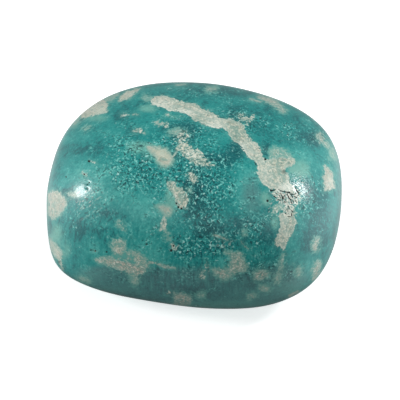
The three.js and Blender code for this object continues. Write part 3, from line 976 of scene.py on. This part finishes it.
def amazoniteMaterial(look):
    material = bpy.data.materials.new("amazonite")
    start = emptyTree(material)
    place = start.node("TexCoord", output=3)

    def mark(name):
        return start.node("Attribute", {"attribute_name": name}, output=2)

    grain, toneAndShade, mint = mark("grain"), mark("toneAndShade"), mark("mint")

    # Noises: mm across, detail, roughness, warp
    clouds = place.noise(5.0, 2, 0.5, 0.4)
    patchy = place.shifted(11).noise(2.0, 2, 0.55, 0.6)
    mottle = place.shifted(23).noise(0.85, 2, 0.6, 0.8)
    swirl = place.shifted(71).bent(1.0, 0.4).noise(0.55, 1, 0.6)
    fine = place.shifted(31).noise(0.40, 1, 0.6, 1.2)
    veryFine = place.shifted(47).noise(0.21, 0, 0.5)
    upright = place.shifted(53).turned((0, 0, 0), (1, 1, 10)).noise(0.34, 1, 0.6)
    oblique = place.shifted(59).turned((0, 28, 0), (1, 1, 12)).noise(0.3, 1, 0.6)
    scratch = place.shifted(61).turned((0, 36, 0), (1, 1, 7)).noise(0.24, 0, 0.5)
    # Short grains that lie two ways
    rising = place.shifted(41).bent(0.8, 0.3).turned((0, 38, 20), (1, 1, 1.5)).noise(0.28, 0, 0.5)
    falling = place.shifted(43).bent(0.8, 0.3).turned((0, -47, -15), (1, 1, 1.5)).noise(0.28, 0, 0.5)

    # Teal body: clouds, mottling, the fine streaks of its two feldspars, and painted light and shade
    level = (
        clouds * 0.4 + patchy * 0.5 + mottle * 0.35 + toneAndShade * 0.8
        + upright * (0.25 + mark("streaky") * 0.8) + oblique * 0.28
    )
    body = start.blend(look["deepTeal"], look["teal"], level.step(-0.8, 0.1))
    body = body.into(look["paleTeal"], level.step(0.0, 1.1))
    # Greyer teal: partly the teal's own tint, partly painted shade and reflection low down and on the
    # right rim
    body = body.into(look["greyTeal"], (mark("grey") + mottle * 0.1).step(0.2, 0.8) * 0.7)
    bloom = (upright * 0.8 + mottle * 0.5 - 0.15).step(0.0, 0.9) * mark("streaky")
    # The palest places, painted light among them, lean to the halo's colour, and the deepest, painted
    # shade among them, to the dark flecks' colour
    body = body.into(look["halo"], bloom * 0.3 + toneAndShade.step(1.2, 2.4) * 0.3)
    body = body.into(look["darkFleck"], (-1 * toneAndShade).step(0.4, 2.6) * 0.4)
    body = body.into(look["mint"], (mint * 1.2 + patchy * 0.3 + mottle * 0.15).step(0.25, 1.3) * 0.85)

    # Grains: light ones with dark ones between them, thickest in the granular zones
    granular = (grain * 1.1 + patchy * 0.8 + mottle * 0.3 + clouds * 0.2 - 0.1).step(0.0, 0.9)
    speckle = fine * 0.5 + veryFine * 0.5
    body = body.into(look["paleTeal"], speckle.step(0.1, 0.8) * 0.4)
    body = body.into(look["darkFleck"], (-1 * speckle).step(0.1, 0.8) * 0.3)
    upper = start.math("MAXIMUM", rising, falling)
    lower = start.math("MINIMUM", rising, falling)
    unlit = (-0.25 - lower).step(0.0, 0.55) * (granular * 0.95 + 0.05)
    lit = (upper - 0.42).step(0.0, 0.5) * (granular * 0.9 + 0.1)
    body = body.into(look["darkFleck"], unlit * 0.85)
    body = body.into(look["fleck"], lit)
    sparkCells = place.shifted(3).bent(0.35, 0.16).texture("Voronoi", look["fleckSpacing"])
    chance = sparkCells.other("Color").red()
    size = look["fleckSize"] / look["fleckSpacing"]
    spark = (size * (chance * 1.7 - 0.3) - sparkCells).step(-0.08, 0.08) * (granular + 0.08)
    body = body.into(look["spark"], spark * 0.85)

    # Albite: its patches' depth, with rims that wander, a pale halo in the teal beside it,
    # and gaps where the teal shows
    depth = (
        mark("albite")
        + (patchy * 0.4 + mottle * 1.3) * mark("ragged")
        + (swirl * 1.2 + fine * 0.9 + lower * 0.4) * mark("fringe")
    )
    halo = (depth + mottle * 0.12).step(-0.7, 0.1) * (mark("edge") * 2.0 + 0.05)
    body = body.into(look["halo"], halo)
    cover = (depth / mark("edge") * 0.5 + 0.5).step(0.0, 1.0)
    gap = (mottle * 0.7 + swirl * 0.7 + 0.5).step(0.0, 1.0)
    cover = cover * (1 - (1 - mark("solid")) * (gap * 1.3 + 0.35))
    webbed = mark("webbed")
    crease = (-0.1 - lower).step(0.0, 0.5)
    cover = cover * (1 - crease * webbed * 0.75)
    stain = patchy * 0.5 + mottle * 0.3 + mark("blush")
    inner = (depth * 2.0).step(0.1, 1.2)
    contour = depth * 8 + mottle * 2.2 + patchy * 3
    fibre = start.math("SINE", contour)
    pale = start.blend(look["cream"], look["pinkCream"], stain.step(0.0, 1.0))
    sage = mottle * 0.8 + swirl * 0.3 + patchy * 0.3 + fibre * 0.6 + mark("sage") + inner * 0.3
    pale = pale.into(look["greyCream"], sage.step(-0.1, 0.8) * 0.9)
    brown = mottle * -0.4 - swirl * 0.5 + mark("broken") * 0.4
    pale = pale.into(look["brown"], brown.step(0.5, 1.0) * 0.6)
    ridge = (upper * 0.7 + veryFine * 0.3 - fibre * 0.25).step(0.1, 0.8)
    pale = pale.into(look["white"], ridge * (webbed * 0.8 + 0.15))
    # The white tint, with the painted highlight over the cracked ground and the painted glints by the
    # pits
    white = mark("white")
    whitened = (white + swirl * 0.5).step(0.3, 1.3) * 0.4 + (white + swirl * 0.3).step(1.2, 2.0) * 0.4
    rimLight = depth.step(0.0, 0.08) * (1 - (depth + mottle * 0.08).step(0.12, 0.3)) * 0.4
    pale = pale.into(look["white"], whitened + rimLight * (mottle + 0.8).step(0.0, 1.0))
    line = (-0.3 - swirl * 0.5 - lower * 0.4 - fibre * 0.25).step(0.0, 0.4) * (webbed * 0.4 + 0.35)
    pale = pale.into(look["sageLine"], line * (1 - whitened * 0.7))
    body = body.into(pale, cover)

    # Pits and cracks, painted dark as the shade in them
    body = body.into(look["stain"], (mark("stain") + mottle * 0.25).step(0.25, 0.9) * 0.75)
    hole = (mark("pit") + fine * 0.04).step(-0.055, 0.045)
    pixel = start.node("Attribute", {"attribute_name": "pixel"}, output=1)
    crack = None
    for line in cracks.values():
        for first, last in zip(line[:-1], line[1:]):
            leg = pixel.leg(first, last)
            crack = leg if crack is None else start.math("MAXIMUM", crack, leg)
    crack = (crack + mottle * 0.15 + fine * 0.2).step(-0.3, 0.05)
    thin = start.math("ABSOLUTE", fine + veryFine * 0.4)
    # White bruising, and at the two highlights and round the cracks a painted spread of highlight
    frostAndGlare = (scratch * 0.7 + rising * 0.5).step(0.1, 0.7) * mark("frostAndGlare")
    body = body.into(look["white"], frostAndGlare * 0.75)
    crazed = (0.14 - thin).step(0.0, 0.07) * (mark("broken") + mottle * 0.3).step(0.25, 0.6)
    # Painted shade in the pits, the cracks and the fine crazing of the broken ground
    dark = start.math("MAXIMUM", start.math("MAXIMUM", hole, crack), crazed * 0.8)
    body = body.into(look["recessShade"], dark * 0.97)

    # The finish: a clear polish that the pits and cracks break. Bump works its height out
    # three times, so the grit is kept to a few nodes.
    grit = fine * (grain * 0.2 + 0.1 + mark("broken") * 0.25) + scratch * mark("scratched") * 1.0
    bumpInputs = {
        "Strength": look["bumpStrength"], "Distance": look["bumpDepth"] * mm, "Height": grit,
    }
    finish = start.node("BsdfPrincipled", None, {
        "Base Color": body,
        "Roughness": look["roughness"] + mottle * 0.03 + cover * 0.04 + dark * 0.5,
        "Normal": start.node("Bump", None, bumpInputs),
        "IOR": look["refraction"],
        "Coat Weight": (1 - dark) * look["coat"],
        "Coat Roughness": look["coatRoughness"],
        "Coat IOR": look["refraction"],
    })
    start.node("OutputMaterial", None, {"Surface": finish}, output=None)
    return material


# The room: a pale floor, a soft box to each side, and a soft surround, dim low in front of
# the stone, brighter behind and above it, and brightest in a band between
studio = {
    "floor": (0.88, 0.88, 0.88),
    "floorGlow": 0.62,
    "floorRoughness": 0.9,
    "floorShine": 0.1,
    "floorSize": 6000.0,
    "floorGap": 0.02,  # under the stone, so that the two faces don't lie in one plane
    # pixel of the picture where the lamp is mirrored in the stone, its distance and width
    # in mm, and its power in watts
    "lamps": {
        "left soft box": ((81.5, 191.5), 520, 150, 1.25),
        "right soft box": ((299.2, 188.6), 520, 135, 1.4),
    },
    "surroundTowards": (100, 55),  # degrees round and up to its side behind and above
    # share of the way from low in front to there, and how bright it is
    "surround": ((0.0, 0.05), (0.25, 0.08), (0.5, 0.7), (0.62, 0.25), (1.0, 0.22)),
    "sides": 1.2,  # how much brighter it is to the left and right
    "lowGlow": (-14, -26, 0.55),  # degrees round and up to a glow low at the right, how bright
    "lowGlowFocus": 6,
}


def addObject(name, data):
    item = bpy.data.objects.new(name, data)
    bpy.context.scene.collection.objects.link(item)
    return item


def makeFloor():
    size = studio["floorSize"] / 2
    under = -studio["floorGap"]
    corners = [(x * size, y * size, under) for x, y in ((-1, -1), (1, -1), (1, 1), (-1, 1))]
    mesh = bpy.data.meshes.new("floor")
    mesh.from_pydata((np.array(corners) * mm).tolist(), [], [(0, 1, 2, 3)])
    mesh.update()
    material = bpy.data.materials.new("floor")
    start = emptyTree(material)
    paper = start.node("BsdfPrincipled", None, {
        "Base Color": studio["floor"], "Roughness": studio["floorRoughness"],
        "Specular IOR Level": studio["floorShine"],
        "Emission Color": (1, 1, 1), "Emission Strength": studio["floorGlow"],
    })
    start.node("OutputMaterial", None, {"Surface": paper}, output=None)
    mesh.materials.append(material)
    floor = addObject("floor", mesh)
    floor.visible_diffuse = False  # the stone sees the surround in its place
    floor.visible_glossy = False


# Puts an item at a place, with its -Z axis towards the target
def pointAt(item, place, target):
    back = Vector(place) - Vector(target)
    turn = back.to_track_quat("Z", "Y").to_matrix().to_4x4()
    item.matrix_world = Matrix.Translation(Vector(place) * mm) @ turn


# The place that the camera sees mirrored at a pixel: from the surface point there, so far
# along the camera's line thrown back about the normal, 2 (n.c) n - c
def mirroredPlace(points, normals, pixel, distance):
    pixels, facing = seenAt(points, normals)
    away = np.linalg.norm(pixels - pixel, axis=-1) + np.where(facing > 0, 0, farAway)
    point, normal = points[away.argmin()], normals[away.argmin()]
    toCamera = unit(cameraPlace - point)
    return point + distance * (2 * (normal @ toCamera) * normal - toCamera)


def makeLights(points, normals):
    for name, (pixel, distance, width, power) in studio["lamps"].items():
        lamp = bpy.data.lights.new(name, "AREA")
        lamp.shape = "DISK"
        lamp.size = width * mm
        lamp.energy = power
        place = mirroredPlace(points, normals, pixel, distance)
        pointAt(addObject(name, lamp), place, stoneMiddle)
    world = bpy.data.worlds.new("surround")
    start = emptyTree(world)
    sky = start.node("TexCoord", output=0)

    # The cosine of the angle to a direction: 1 there, 0 across from it, -1 opposite
    def towards(around, up):
        return start.vector("DOT_PRODUCT", sky, tuple(direction(around, up)))

    stops = [(share, (glow, glow, glow)) for share, glow in studio["surround"]]
    lean = towards(*studio["surroundTowards"]) * 0.5 + 0.5
    tint = start.node("ValToRGB", {"stops": stops}, {"Fac": lean})
    aside = towards(picture["turn"], 0)
    *lowPlace, lowBright = studio["lowGlow"]
    low = start.math("MAXIMUM", towards(*lowPlace), 0)
    low = start.math("POWER", low, studio["lowGlowFocus"]) * lowBright
    side = start.math("POWER", aside * aside, 2) * studio["sides"]
    glow = start.node("Background", None, {"Color": tint.red() + side + low})
    start.node("OutputWorld", None, {"Surface": glow}, output=None)
    bpy.context.scene.world = world


def makeCamera():
    camera = bpy.data.cameras.new("camera")
    camera.sensor_width = picture["sensor"]
    wide = picture["pixels"] / picture["pixelsPerMm"]  # what the picture takes in, in mm
    camera.lens = picture["sensor"] * picture["distance"] / wide
    camera.clip_start, camera.clip_end = (clip * mm for clip in picture["clip"])
    item = addObject("camera", camera)
    turn = Matrix(np.stack([cameraRight, cameraUp, cameraBack], -1).tolist()).to_4x4()
    item.matrix_world = Matrix.Translation(Vector(cameraPlace) * mm) @ turn
    bpy.context.scene.camera = item


points, ringCount = stonePoints()
quads, fans = stoneFaces(ringCount)
normals = pointNormals(points, quads, fans)
print("stone surface:", len(points), "points")

marks = stoneMarks(points, normals)
points = points + normals * reliefOf(points, marks)[:, None]
points[:, 2] = np.maximum(points[:, 2], 0)
mesh = makeMesh("amazonite stone", points, quads, fans, marks)
mesh.materials.append(amazoniteMaterial(amazoniteLook))
amazoniteStone = addObject("amazonite_stone", mesh)
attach(amazoniteStone, "root")
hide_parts(nodeName)
print("stone dressed")

makeFloor()
makeLights(points, normals)
makeCamera()
bpy.context.scene.view_settings.view_transform = "Standard"
print("studio set")
